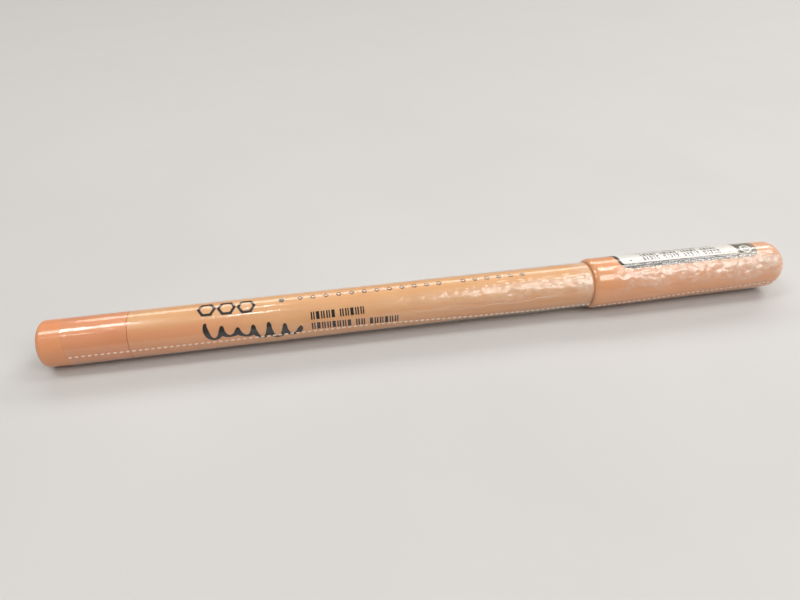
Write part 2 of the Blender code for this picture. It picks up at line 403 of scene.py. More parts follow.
def product(tree, *values):
    result = values[0]
    for value in values[1:]:
        result = add(tree, "ShaderNodeMath", {0: result, 1: value}, operation="MULTIPLY").outputs[0]
    return result


def total(tree, first, second):
    return add(tree, "ShaderNodeMath", {0: first, 1: second}, operation="ADD").outputs[0]


def surface_place(tree):
    """The place along the pencil and the height over its axis, in metres, and the elevation in degrees."""
    where = add(tree, "ShaderNodeTexCoord")
    parts = add(tree, "ShaderNodeSeparateXYZ", {"Vector": where.outputs["Object"]})
    height = add(tree, "ShaderNodeMath", {0: parts.outputs["Z"], 1: AXIS_Z}, operation="SUBTRACT").outputs[0]
    front = add(tree, "ShaderNodeMath", {0: parts.outputs["Y"], 1: -1.0}, operation="MULTIPLY").outputs[0]
    angle = add(tree, "ShaderNodeMath", {0: height, 1: front}, operation="ARCTAN2").outputs[0]
    elevation = add(tree, "ShaderNodeMath", {0: angle}, operation="DEGREES").outputs[0]
    return parts.outputs["X"], height, elevation


def pucker_cells(tree, scale):
    """The squared distance from the middle of the nearest pucker, in cells of 1 / scale metres."""
    where = add(tree, "ShaderNodeTexCoord")
    mapped = add(tree, "ShaderNodeMapping", {
        "Vector": where.outputs["Object"], "Scale": (scale / 1.4, scale, scale),
    })
    cells = add(tree, "ShaderNodeTexVoronoi", {
        "Vector": mapped.outputs[0], "Scale": 1.0, "Randomness": 0.9,
    })
    distance = cells.outputs["Distance"]
    return product(tree, distance, distance)


def painted_lower_shade(tree):
    """How far the barrel's lower part is painted in a deeper, warmer tone as shade: fully by the seam, and
    nearly halfway in its lower half all along.
    """
    where = add(tree, "ShaderNodeTexCoord")
    parts = add(tree, "ShaderNodeSeparateXYZ", {"Vector": where.outputs["Object"]})
    swirl = spread(tree, surface_noise(tree, (70.0, 380.0, 380.0), detail=2.0), 0.3, 0.7, -0.0005, 0.0005)
    height = total(tree, parts.outputs["Z"], swirl)
    upwards = fading(tree, height, AXIS_Z + 3.7 * MM, AXIS_Z + 2.3 * MM)
    along = fading(tree, parts.outputs["X"], TAIL_X + 48.0 * MM, TAIL_X + 19.0 * MM)
    low = product(tree, fading(tree, height, AXIS_Z + 2.6 * MM, AXIS_Z + 0.8 * MM), 0.45)
    by_seam = product(tree, upwards, along)
    return add(tree, "ShaderNodeMath", {0: by_seam, 1: low}, operation="MAXIMUM").outputs[0]


def moulded_plastic(name, light, deep, low_rough, high_rough, streaks, grain, shade_tone=None):
    """Coloured plastic: lengthwise flow streaks, cloudy tone, fine grain and uneven gloss.

    The last argument is a deeper colour that its lower half leans to, as painted shade.
    """
    material, tree = new_material(name)
    flow = surface_noise(tree, (45.0, 2600.0, 2600.0), detail=4.0)
    cloud = surface_noise(tree, (130.0, 210.0, 210.0), detail=2.0)
    fine = surface_noise(tree, (9000.0, 9000.0, 9000.0), detail=2.0)
    toned = blended(tree, spread(tree, cloud, 0.3, 0.7), light, deep)
    streaked = blended(tree, spread(tree, flow, 0.35, 0.75, 0.0, streaks), toned, deep)
    # Painted shade: the lower half leans to a deeper tone
    if shade_tone:
        streaked = blended(tree, painted_lower_shade(tree), streaked, shade_tone)
    rough = spread(tree, flow, 0.3, 0.7, low_rough, high_rough)
    skin = bump(tree, blended(tree, 0.4, flow, fine), grain, 0.00004)
    shader = add(tree, "ShaderNodeBsdfPrincipled", {
        "Base Color": streaked, "Roughness": rough, "Normal": skin, "IOR": 1.5,
    })
    close_material(tree, shader.outputs[0])
    return material


def fold_line(tree, along, elevation, start, full):
    """1 on the thin line where crinkled film folds over to hang loose, which swings up and down. The film is
    painted pale along it, as a highlight.
    """
    swing = spread(tree, surface_noise(tree, (260.0, 60.0, 60.0), detail=1.0), 0.38, 0.62, -15.0, -8.0)
    above = total(tree, elevation, swing)
    band = product(tree, fading(tree, above, -1.6, 0.0), fading(tree, above, 2.6, 0.0))
    return product(tree, band, fading(tree, along, start, full), fading(tree, along, full, full - 6.0 * MM))


def clear_film(name, crinkled, gathered, low_edge,
               crease_haze, crease_sheen, end_haze_and_sheen, loose_haze, fold_highlight):
    """Clear shrink film, which mirrors by angle.

    crinkled and gathered are pairs of stations over which it turns from smooth to fully so. It is a little
    white where it has crinkled, whiter where it is gathered, and milky where it hangs loose under low_edge.
    The gathered whitening is weighted to the upper part, which is a painted sheen. A pale fold line, a
    painted highlight, parts the crinkled film from the loose.
    """
    material, tree = new_material(name)
    along, height, elevation = surface_place(tree)
    start, full = (TAIL_X + station * MM for station in crinkled)
    near, far = (TAIL_X + station * MM for station in gathered)

    creases = surface_noise(tree, (700.0, 1100.0, 1100.0), detail=3.0, roughness=0.55, distortion=0.4)
    puckers = pucker_cells(tree, 900.0)
    waves = spread(tree, surface_noise(tree, (330.0, 330.0, 330.0), detail=1.0), 0.2, 0.8, -16.0, 16.0)
    over_front = fading(tree, total(tree, elevation, waves), 0.0, 36.0)
    below_label = fading(tree, elevation, 66.0, 54.0)
    wrinkled = product(tree, fading(tree, along, start, full), over_front, below_label)
    domes = spread(tree, puckers, 0.0, 0.6, 1.0, 0.0)
    rims = spread(tree, puckers, 0.05, 0.45, 0.55, 1.0)
    relief = blended(tree, spread(tree, wrinkled, 0.0, 1.0, 0.0, 0.5), creases, domes)
    ripple = bump(tree, relief, spread(tree, wrinkled, 0.0, 1.0, 0.22, 0.85), 0.0001)

    creased = product(tree, wrinkled, rims, spread(tree, creases, 0.35, 0.6, 0.45, 1.0), crease_haze)
    loose = product(tree, fading(tree, elevation, low_edge + 6.0, low_edge - 12.0), loose_haze)
    # Painted highlight: a pale line along the fold stands for its glint
    fold_glint = product(tree, fold_line(tree, along, elevation, start, full), fold_highlight)
    # Gathered film is whitened; the extra weight on its upper part is a painted sheen
    top_sheen = spread(tree, fading(tree, height, 0.6 * MM, 2.9 * MM), 0.0, 1.0, 0.25, 1.0)
    uneven = spread(tree, creases, 0.3, 0.65, 0.4, 1.0)
    gathered_haze_and_sheen = product(tree, fading(tree, along, near, far), uneven, top_sheen, end_haze_and_sheen)
    haze = total(tree, total(tree, creased, loose), total(tree, fold_glint, gathered_haze_and_sheen))
    whitened = total(tree, haze, CLEAR_FILM_HAZE)

    facing = add(tree, "ShaderNodeLayerWeight", {"Blend": 0.5, "Normal": ripple}).outputs["Facing"]
    steep = add(tree, "ShaderNodeMath", {0: facing, 1: 4.5}, operation="POWER").outputs[0]
    sheen = product(tree, wrinkled, rims, crease_sheen)
    mirrored = total(tree, spread(tree, steep, 0.0, 1.0, *FILM_MIRROR), sheen)
    fine_rough = spread(tree, creases, 0.35, 0.7, 0.06, 0.2)
    rough = total(tree, fine_rough, spread(tree, wrinkled, 0.0, 1.0, 0.0, 0.16))

    see = add(tree, "ShaderNodeBsdfTransparent", {"Color": FILM_TINT})
    milk = add(tree, "ShaderNodeBsdfDiffuse", {"Color": FILM_MILK, "Normal": ripple})
    gloss = add(tree, "ShaderNodeBsdfGlossy", {
        "Color": (1.0, 1.0, 1.0, 1.0), "Roughness": rough, "Normal": ripple,
    })
    body = add(tree, "ShaderNodeMixShader", {0: whitened, 1: see.outputs[0], 2: milk.outputs[0]})
    shader = add(tree, "ShaderNodeMixShader", {0: mirrored, 1: body.outputs[0], 2: gloss.outputs[0]})
    close_material(tree, shader.outputs[0])
    return material


def film_edge_whitening_and_glint(name):
    """The cut and torn edges of the film: partly white with stress, partly painted pale as a highlight along
    the edge.
    """
    material, tree = new_material(name)
    specks = surface_noise(tree, (2600.0, 2600.0, 2600.0), detail=3.0)
    # Partly stress whitening, partly a painted highlight along the edge
    colour = blended(tree, spread(tree, specks, 0.35, 0.65), *FILM_EDGE_AND_GLINT)
    solid = add(tree, "ShaderNodeBsdfPrincipled", {
        "Base Color": colour, "Roughness": 0.3, "Normal": bump(tree, specks, 0.4, 0.00005),
    })
    see = add(tree, "ShaderNodeBsdfTransparent", {"Color": (1.0, 0.99, 0.98, 1.0)})
    share = spread(tree, specks, 0.3, 0.7, 0.03, 0.16)
    shader = add(tree, "ShaderNodeMixShader", {0: share, 1: see.outputs[0], 2: solid.outputs[0]})
    close_material(tree, shader.outputs[0])
    return material


def stressed_film(name):
    """Film that a blade has cut and drawn out, opaque and white."""
    material, tree = new_material(name)
    specks = surface_noise(tree, (3000.0, 3000.0, 3000.0), detail=2.0)
    colour = blended(tree, spread(tree, specks, 0.3, 0.7), *STRESSED_FILM)
    shader = add(tree, "ShaderNodeBsdfPrincipled", {
        "Base Color": colour, "Roughness": spread(tree, specks, 0.3, 0.7, 0.25, 0.45),
        "Normal": bump(tree, specks, 0.3, 0.00003),
    })
    close_material(tree, shader.outputs[0])
    return material


def printed(name, light, deep, low_rough, high_rough, specular=0.5):
    """Ink or label stock: a slightly mottled tone and gloss."""
    material, tree = new_material(name)
    specks = surface_noise(tree, (1400.0, 1400.0, 1400.0), detail=3.0)
    colour = blended(tree, spread(tree, specks, 0.3, 0.7), light, deep)
    shader = add(tree, "ShaderNodeBsdfPrincipled", {
        "Base Color": colour, "Specular IOR Level": specular,
        "Roughness": spread(tree, specks, 0.3, 0.7, low_rough, high_rough),
        "Normal": bump(tree, specks, 0.15, 0.00003),
    })
    close_material(tree, shader.outputs[0])
    return material


def waxy_core(name):
    material, tree = new_material(name)
    smear = surface_noise(tree, (500.0, 900.0, 900.0), detail=5.0, roughness=0.6)
    colour = blended(tree, spread(tree, smear, 0.3, 0.7), *CORE_WAX)
    shader = add(tree, "ShaderNodeBsdfPrincipled", {
        "Base Color": colour, "Roughness": spread(tree, smear, 0.3, 0.7, 0.35, 0.6),
        "Normal": bump(tree, smear, 0.4, 0.00008), "Metallic": 0.25,
    })
    close_material(tree, shader.outputs[0])
    return material


def floor_material(name):
    material, tree = new_material(name)
    cloud = surface_noise(tree, (14.0, 14.0, 14.0), detail=3.0)
    grain = surface_noise(tree, (2200.0, 2200.0, 2200.0), detail=2.0)
    colour = blended(tree, spread(tree, cloud, 0.3, 0.7), *FLOOR_PAINT)
    shader = add(tree, "ShaderNodeBsdfPrincipled", {
        "Base Color": colour, "Roughness": spread(tree, cloud, 0.3, 0.7, 0.45, 0.6),
        "Normal": bump(tree, grain, 0.1, 0.00005),
    })
    close_material(tree, shader.outputs[0])
    return material


# ---------------------------------------------------------------- turned pieces

END_POINTS = 22
END_POWER = 2.5


def rounded_end(end, depth, radius, flat_radius, direction):
    """A squarish rounded end, from its straight side to its flat middle. direction is +1 towards the cap."""
    line = []
    last_angle = math.acos((flat_radius / radius) ** (END_POWER / 2))
    deepest = math.sin(last_angle) ** (2 / END_POWER)
    for step in range(END_POINTS):
        angle = last_angle * step / (END_POINTS - 1)
        along = depth * (1 - math.sin(angle) ** (2 / END_POWER) / deepest)
        line.append((end - direction * along, radius * math.cos(angle) ** (2 / END_POWER)))
    return line


def build_barrel(material):
    nose_start = NOSE_END - NOSE_LENGTH
    shoulder = [
        (SEAM + SEAM_CHAMFER * (1 - math.sin(math.radians(angle))),
         BARREL_RADIUS - SEAM_CHAMFER * (1 - math.cos(math.radians(angle))))
        for angle in (0, 30, 60, 90)
    ]
    body = [(SEAM + (nose_start - SEAM) * share / 12, BARREL_RADIUS) for share in range(11, 0, -1)]
    nose = [
        (NOSE_END, NOSE_RADIUS - NOSE_CHAMFER),
        (NOSE_END - NOSE_CHAMFER, NOSE_RADIUS),
        (nose_start + 0.25, BARREL_RADIUS - 0.035),
        (nose_start, BARREL_RADIUS),
    ]
    inside = [
        (SEAM, PLUG_BORE_RADIUS),
        (PLUG_END + PLUG_BORE_SPARE, PLUG_BORE_RADIUS),
        (PLUG_END + PLUG_BORE_SPARE, CORE_BORE_RADIUS),
        (NOSE_END, CORE_BORE_RADIUS),
    ]
    return lathe("barrel_body", nose + body + shoulder + inside, material)


def build_tail_plug(material):
    spigot = PLUG_BORE_RADIUS - PLUG_FIT_GAP
    seam = SEAM - SEAM_GAP
    line = [
        (PLUG_HOLLOW_START, 0.0),
        (PLUG_HOLLOW_START, PLUG_HOLLOW_RADIUS),
        (PLUG_END, PLUG_HOLLOW_RADIUS),
        (PLUG_END, spigot - PLUG_TIP_CHAMFER),
        (PLUG_END - PLUG_TIP_CHAMFER, spigot),
        (seam, spigot),
        (seam, BARREL_RADIUS - SEAM_CHAMFER),
        (seam - 0.03, BARREL_RADIUS - 0.02),
        (seam - SEAM_CHAMFER, BARREL_RADIUS),
        (seam / 2, BARREL_RADIUS),
    ]
    line += rounded_end(0.0, TAIL_ROUNDING, BARREL_RADIUS, TAIL_FLAT_RADIUS, -1)
    line.append((0.0, 0.0))
    return lathe("tail_plug_body", line, material)


def build_core(material):
    line = [
        (CORE_TIP, 0.0),
        (CORE_TIP, 0.2),
        (CORE_TIP - 0.04, 0.42),
        (CORE_TIP - 0.16, 0.62),
        (CORE_TIP - 0.36, 0.78),
        (CORE_TIP - 0.6, CORE_CONE_RADIUS),
        (CORE_TIP - CORE_CONE_LENGTH + 0.2, CORE_RADIUS - 0.05),
        (CORE_TIP - CORE_CONE_LENGTH, CORE_RADIUS),
        (CORE_START, CORE_RADIUS),
        (CORE_START, 0.0),
    ]
    return lathe("core_body", line, material, around=96)


def cap_radius(station):
    """The cap's radius on its straight taper."""
    near = CAP_FACE + CAP_BEVEL_LENGTH
    share = (station - near) / (CAP_END - CAP_ROUNDING - near)
    return CAP_RADIUS + share * (CAP_FAR_RADIUS - CAP_RADIUS)


def cap_outline():
    """The cap's outer line, from the flat middle of its closed end to its lip."""
    line = rounded_end(CAP_END, CAP_ROUNDING, CAP_FAR_RADIUS, CAP_FLAT_RADIUS, 1)[::-1]
    line += [(station, cap_radius(station)) for station in (129.0, 123.0, 117.0, 111.0, 105.0, 101.0)]
    for step in range(13):
        angle = math.pi / 2 * (1 - step / 12)
        along = CAP_BEVEL_LENGTH * (1 - math.cos(angle))
        line.append((CAP_FACE + along, CAP_LIP_RADIUS + (CAP_RADIUS - CAP_LIP_RADIUS) * math.sin(angle)))
    return line


CAP_OUTLINE = cap_outline()


def cap_surface(station):
    """The cap's outer radius at a station, read from its outline, which runs from its end to its lip."""
    for (high, first), (low, last) in zip(CAP_OUTLINE, CAP_OUTLINE[1:]):
        if low <= station <= high and high > low:
            return last + (first - last) * (station - low) / (high - low)
    return CAP_LIP_RADIUS if station < CAP_FACE else CAP_FLAT_RADIUS


def build_cap(material):
    inside = [
        (CAP_FACE, CAP_MOUTH_RADIUS + CAP_MOUTH_CHAMFER),
        (CAP_FACE + CAP_MOUTH_CHAMFER, CAP_MOUTH_RADIUS),
        (GRIP_RING_START, CAP_MOUTH_RADIUS),
        (GRIP_RING_START + GRIP_RING_SLOPE, GRIP_RING_RADIUS),
        (GRIP_RING_END - GRIP_RING_SLOPE, GRIP_RING_RADIUS),
        (GRIP_RING_END, CAP_MOUTH_RADIUS),
        (CAP_SOCKET_START, CAP_MOUTH_RADIUS),
        (CAP_SOCKET_START + CAP_SOCKET_STEP, CAP_SOCKET_RADIUS),
        (CAP_SOCKET_END - CAP_SOCKET_CHAMFER, CAP_SOCKET_RADIUS),
        (CAP_SOCKET_END, CAP_SOCKET_RADIUS - CAP_SOCKET_CHAMFER),
        (CAP_SOCKET_END, 0.0),
    ]
    return lathe("cap_body", [(CAP_END, 0.0)] + CAP_OUTLINE + inside, material)


def nose_radius(station):
    """The radius of the barrel's nose, which the seal seats on."""
    share = (station - NOSE_END + NOSE_LENGTH) / NOSE_LENGTH
    return BARREL_RADIUS + share * (NOSE_RADIUS - BARREL_RADIUS)


def build_seal(material):
    line = [
        (SEAL_END, 0.0),
        (SEAL_END, SEAL_RADIUS - 0.6),
        (SEAL_END - 0.2, SEAL_RADIUS - 0.22),
        (SEAL_END - 0.6, SEAL_RADIUS),
        (SEAL_START + 0.08, SEAL_RADIUS),
        (SEAL_START, SEAL_RADIUS - 0.08),
        (SEAL_START, nose_radius(SEAL_START) + SEAL_NOSE_GAP),
        (SEAL_START + 1.0, nose_radius(SEAL_START + 1.0) + SEAL_NOSE_GAP),
        (SEAL_START + 2.0, SEAL_BORE_RADIUS),
        (SEAL_END - SEAL_FLOOR, SEAL_BORE_RADIUS),
        (SEAL_END - SEAL_FLOOR, 0.0),
    ]
    return lathe("seal_body", line, material, around=96)


# ---------------------------------------------------------------- the sleeve

FILM_THICKNESS = 0.05
FILM_OFF_BARREL = 0.035
FILM_OFF_CAP = 0.075

# How far the sleeve's shapes stand off, in millimetres
TAUT_WAVES = 0.014
BARREL_PUCKERS = 0.19
BARREL_CREASES = 0.07
CAP_PUCKERS = 0.23
CAP_CREASES = 0.09
CREASE_SIZE = 0.5
TAIL_FLARE = 0.12


def bubbles(where, size):
    """Domes that meet in sharp valleys: 1 on a dome's top, 0 at its edge."""
    nearest = noise.voronoi(where / size)[0][0]
    return 1 - min(1.0, nearest) ** 2


def barrel_relief(station, elevation):
    """How far the sleeve stands off the barrel and the plug, in millimetres."""
    where = noise_place(station, BARREL_RADIUS, elevation, stretch=1.5)
    taut = TAUT_WAVES * (1 + noise.noise(where / 3.1))
    front = window(elevation, 16.0, 60.0, 14.0)
    back = 0.5 * window(elevation, 120.0, 215.0, 20.0)
    crinkled = ease(station, 42.0, 88.0) * (front + back)
    fine = BARREL_CREASES * (1 + noise.noise(where / CREASE_SIZE))
    creases = crinkled * (BARREL_PUCKERS * bubbles(where, 1.2) + fine)
    hanging = 0.09 + 0.30 * ease(station, 52.0, 92.0) * window(elevation, -72.0, -20.0, 22.0)
    loose = hanging * window(elevation, -90.0, perforation_elevation(station) - 4.0, 16.0)
    by_edge = 1 - ease(station, SLEEVE_START, SLEEVE_START + 1.8)
    flare = TAIL_FLARE * by_edge * window(elevation, -90.0, -20.0, 30.0)
    return taut + creases + loose * (0.7 + 0.3 * noise.noise(where / 4.0)) + flare


def cap_relief(station, elevation):
    """How far the sleeve stands off the cap, in millimetres."""
    where = noise_place(station, CAP_RADIUS, elevation, stretch=1.3)
    taut = TAUT_WAVES * (1 + noise.noise(where / 2.7))
    front = window(elevation, 18.0, 58.0, 9.0)
    top = 0.06 * window(elevation, 72.0, 150.0, 10.0)
    back = 0.4 * window(elevation, 190.0, 235.0, 15.0)
    crinkled = window(station, 102.5, 131.0, 3.0) * (front + top + back)
    fine = CAP_CREASES * (1 + noise.noise(where / CREASE_SIZE))
    creases = crinkled * (CAP_PUCKERS * bubbles(where, 1.3) + fine)
    return taut + creases


def tail_edge(elevation):
    """The sleeve's tail edge, which runs askew round the pencil and wavers a little."""
    angle = math.radians(elevation)
    askew = 0.38 * math.cos(angle + 0.9)
    waver = 0.05 * math.sin(5 * angle) + 0.03 * math.sin(11 * angle)
    return SLEEVE_START + 0.6 + askew + waver


def cap_edge(elevation):
    """The sleeve's edge over the cap's rounded end."""
    angle = math.radians(elevation)
    return CAP_SLEEVE_END - 0.2 + 0.09 * math.sin(3 * angle + 1.3) + 0.06 * math.sin(8 * angle)


def constant(station):
    return lambda elevation: station


def sleeve_stations(start, end, pitch, first, last):
    """Row lines from one edge to the other; the outer rows follow the edges' own lines."""
    steps = round((end - start) / pitch)
    lines = [constant(start + (end - start) * step / steps) for step in range(5, steps - 1)]
    near = [lambda e, d=depth: first(e) + d for depth in (0.0, 0.05, 0.25)]
    far = [lambda e, d=depth: last(e) - d for depth in (0.25, 0.05, 0.0)]
    return near + lines + far


def barrel_sleeve_inside(station):
    return BARREL_RADIUS + FILM_OFF_BARREL


def build_barrel_sleeve(film, edge):
    lines = sleeve_stations(SLEEVE_START, SLEEVE_PART, 0.33, tail_edge, constant(SLEEVE_PART))
    return tube_shell("barrel_sleeve", lines, barrel_sleeve_inside, barrel_relief, FILM_THICKNESS,
                      [film, edge], edge_rows=(1, 2))


def cap_sleeve_inside(station):
    """The sleeve's inner radius on the cap. It rises from the barrel's radius at the lip."""
    on_barrel = BARREL_RADIUS + FILM_OFF_BARREL
    rise = ease(station, CAP_SLEEVE_START - 0.02, CAP_SLEEVE_START + 0.16)
    return on_barrel + (cap_surface(max(station, CAP_FACE)) + FILM_OFF_CAP - on_barrel) * rise


def build_cap_sleeve(film, edge):
    """The sleeve on the cap, with its rows closest over the lip."""
    start = CAP_SLEEVE_START
    lip = [constant(start + 0.04 * step) for step in range(5)]
    lip += [constant(start + 0.2 + 0.12 * step) for step in range(1, 9)]
    top = start + 1.3
    end = CAP_SLEEVE_END - 0.75
    steps = round((end - top) / 0.27)
    body = [constant(top + (end - top) * step / steps) for step in range(steps)]
    far = [lambda e, d=depth: cap_edge(e) - d for depth in (0.36, 0.2, 0.07, 0.0)]
    return tube_shell("cap_sleeve", lip + body + far, cap_sleeve_inside, cap_relief, FILM_THICKNESS,
                      [film, edge])


# (station, elevation) along the line of perforations
PERFORATION_PATH = ((0.0, -3.0), (48.0, -7.0), (90.0, -26.0), (99.0, -28.0), (120.0, -19.0), (136.0, -15.0))


def perforation_elevation(station):
    """Where the line of perforations runs: it drifts down along the barrel and back up along the cap."""
    return between(station, PERFORATION_PATH)


# A slit's raised lip, from its outer foot over its crest to its inner foot: (size, height in mm)
SLIT_RINGS = ((1.9, 0.0), (1.5, 0.05), (0.8, 0.06), (0.3, 0.0))


def build_perforations(name, start, end, surface, material):
    """A row of short slits with raised, whitened lips, one each millimetre."""
    points = []
    faces = []
    around = 14
    for step in range(int(end - start) + 1):
        station = start + step
        middle = perforation_elevation(station)
        uneven = noise.noise(Vector((station * 1.7, 3.1, 0.4)))
        half_length = 0.24 + 0.04 * uneven
        half_width = 0.085 + 0.02 * uneven
        first = len(points)
        for grow, lift in SLIT_RINGS:
            for corner in range(around):
                angle = math.tau * corner / around
                along = station + half_length * math.cos(angle) * (0.6 + 0.4 * grow)
                sideways = half_width * grow * math.sin(angle)
                elevation = middle + math.degrees(sideways / BARREL_RADIUS)
                points.append(place(along, surface(along, elevation) + lift, elevation))
        for ring in range(len(SLIT_RINGS)):
            following = (ring + 1) % len(SLIT_RINGS)
            for corner in range(around):
                after = (corner + 1) % around
                faces.append([
                    first + ring * around + corner,
                    first + ring * around + after,
                    first + following * around + after,
                    first + following * around + corner,
                ])
    return finish_mesh(name, points, faces, [material], sharp=80.0)


# How deep a slit's feet are sunk into the film, so that no gap shows under them
SLIT_SINK = 0.012


def barrel_sleeve_surface(station, elevation):
    return barrel_sleeve_inside(station) + FILM_THICKNESS + barrel_relief(station, elevation) - SLIT_SINK


def cap_sleeve_surface(station, elevation):
    return cap_sleeve_inside(station) + FILM_THICKNESS + cap_relief(station, elevation) - SLIT_SINK


# ---------------------------------------------------------------- print on the barrel

# How far the ink lies off the barrel, in millimetres
INK_LAYER = (0.004, 0.016)

PRINT_WORDS_START = 44.9
HEXAGON_PITCH = 3.3
ROW_PITCH = 2.25
ROW_MARKS = 19
ROW_GAP = 12
WAVE_STEPS = 220


def over_barrel(lift):
    return lambda station: BARREL_RADIUS + lift


def add_stroke(path, widths, points, faces):
    bottom, top = INK_LAYER
    slab(stroke_rows(path, widths), over_barrel(bottom), over_barrel(top), points, faces)


def bar(start, end, elevation, width):
    """A straight bar along the pencil."""
    steps = max(2, round((end - start) / 0.4))
    path = [(start + (end - start) * step / steps, elevation) for step in range(steps + 1)]
    return path, [width] * len(path)


def polygon_mark(station, elevation, size, corners, width, points, faces):
    """The outline of a regular polygon, in one stroke for each side. The strokes overlap at the corners."""
    turn = math.degrees(1 / BARREL_RADIUS)
    ring = []
    for step in range(corners + 1):
        angle = math.tau * step / corners
        ring.append((station + size * math.cos(angle), elevation + turn * size * math.sin(angle)))
    for here, after in zip(ring, ring[1:]):
        path = []
        for step in range(5):
            share = -0.08 + 1.16 * step / 4
            path.append((
                here[0] + (after[0] - here[0]) * share,
                here[1] + (after[1] - here[1]) * share,
            ))
        add_stroke(path, [width] * len(path), points, faces)


# The widths of the ticks that stand for one printed character, in turn
TICKS = ((0.26, 0.22), (0.58,), (0.24, 0.26))


def tick_row(start, elevation, height, groups, points, faces):
    """A line of plain upright ticks in groups, in the place of a printed line of words."""
    station = start
    count = 0
    for group in groups:
        for _ in range(group):
            for width in TICKS[count % len(TICKS)]:
                path, widths = bar(station, station + width, elevation(station), height)
                add_stroke(path, widths, points, faces)
                station += width + 0.16
            station += 0.1
            count += 1
        station += 0.62


def brush_wave(start, end, middle, swing, turns, thick, points, faces):
    """A brushed wavy line that swells and thins."""
    path = []
    widths = []
    for step in range(WAVE_STEPS + 1):
        share = step / WAVE_STEPS
        phase = math.tau * turns * share
        height = swing * math.sin(phase) * (0.72 + 0.28 * math.cos(math.tau * share * 1.5))
        station = start + (end - start) * share + 0.55 * math.cos(phase)
        path.append((station, middle + height - 22 * share))
        tip = ease(share, 0.0, 0.04) * (1 - ease(share, 0.94, 1.0))
        widths.append(0.14 + thick * tip * (0.35 + 0.65 * math.cos(phase) ** 2))
    add_stroke(path, widths, points, faces)


def lower_words_elevation(station):
    return 7.0 - 0.4 * (station - PRINT_WORDS_START)


def build_barrel_print(ink, grey_ink):
    """Generic marks: three hexagons, a brushed wave, two lines of ticks and a row of small polygons."""
    points = []
    faces = []
    for step in range(3):
        station = 27.6 + HEXAGON_PITCH * step
        polygon_mark(station, 82.0 - 1.5 * step, 1.35, 6, 0.48, points, faces)
    brush_wave(26.6, 43.6, 22.0, 21.0, 6.5, 0.8, points, faces)
    tick_row(PRINT_WORDS_START, lambda station: 34.0, 1.35, (5, 5), points, faces)
    tick_row(PRINT_WORDS_START, lower_words_elevation, 1.3, (8, 2, 6), points, faces)
    black = finish_mesh("barrel_print", points, faces, [ink])

    points = []
    faces = []
    for step in range(ROW_MARKS):
        if step != ROW_GAP:
            polygon_mark(43.4 + ROW_PITCH * step, 87.0, 0.42, 4 + step % 2, 0.2, points, faces)
    polygon_mark(40.2, 86.0, 0.36, 4, 0.4, points, faces)
    grey = finish_mesh("barrel_print_row", points, faces, [grey_ink])
    return black, grey


# ---------------------------------------------------------------- label

# Degrees round the cap
LABEL_SPAN = 138.0
LABEL_BORDER = 13.5
LABEL_BACK_BORDER = 5.0

# Where the white panel starts and ends inside the label, in millimetres
PANEL_START = LABEL_START + 0.6
PANEL_END = LABEL_END - 4.1

# How far the label, its panel and its print lie off the cap, in millimetres
LABEL_LAYER = (0.012, 0.045)
PANEL_LAYER = (0.047, 0.055)
PRINT_LAYER = (0.057, 0.062)

# The printed rows, in degrees from the label's front edge, and the block of bars
LABEL_ROWS = ((20.0, 33.0), (37.0, 46.0))
BARS = (52.0, 98.0)
BLOCK_WIDTHS = (0.42, 0.26, 0.55, 0.3, 0.48, 0.24, 0.6, 0.34)
BLOCK_GAP = 0.3

SYMBOL_RADIUS = 0.95
SYMBOL_STEPS = 32


def label_front(station):
    """The label's front edge. The label was stuck on a little askew."""
    return 60.5 - 1.5 * (station - LABEL_START) / (LABEL_END - LABEL_START)


def label_back(station):
    return label_front(station) + LABEL_SPAN


def panel_front(station):
    """The white panel's front edge, which leaves a black border in front of it."""
    return label_front(station) + LABEL_BORDER


def panel_back(station):
    return label_back(station) - LABEL_BACK_BORDER


def over_cap(lift):
    return lambda station: cap_radius(station) + lift


def add_to_cap(rows, layer, points, faces):
    bottom, top = layer
    slab(rows, over_cap(bottom), over_cap(top), points, faces)


def add_block(first, last, low, high, points, faces):
    """A printed block on the label, low and high being degrees from the label's front edge."""
    rows = panel_rows(
        first, last, lambda station: label_front(station) + low, lambda station: label_front(station) + high,
        0.05, 4, 8,
    )
    add_to_cap(rows, PRINT_LAYER, points, faces)


def build_label_print(ink):
    """Plain blocks in the place of the label's words, and a block of bars that encodes nothing."""
    points = []
    faces = []
    for row, (low, high) in enumerate(LABEL_ROWS):
        station = PANEL_START + 4.6
        count = 0
        while station < PANEL_END - 3.0:
            width = BLOCK_WIDTHS[(count * 3 + row) % len(BLOCK_WIDTHS)]
            if count % 6 != 5:
                add_block(station, station + width, low, high, points, faces)
            station += width + BLOCK_GAP
            count += 1
    add_block(PANEL_START + 1.7, PANEL_START + 2.2, 22.0, 26.0, points, faces)
    add_block(PANEL_END - 1.9, PANEL_END - 1.5, 20.0, 24.0, points, faces)
    station = PANEL_START + 4.0
    count = 0
    while station < PANEL_END - 4.0:
        width = 0.16 + 0.13 * ((count * 5) % 4)
        add_block(station, station + width, *BARS, points, faces)
        station += width + 0.2 + 0.11 * ((count * 7) % 3)
        count += 1
    return finish_mesh("label_print", points, faces, [ink])


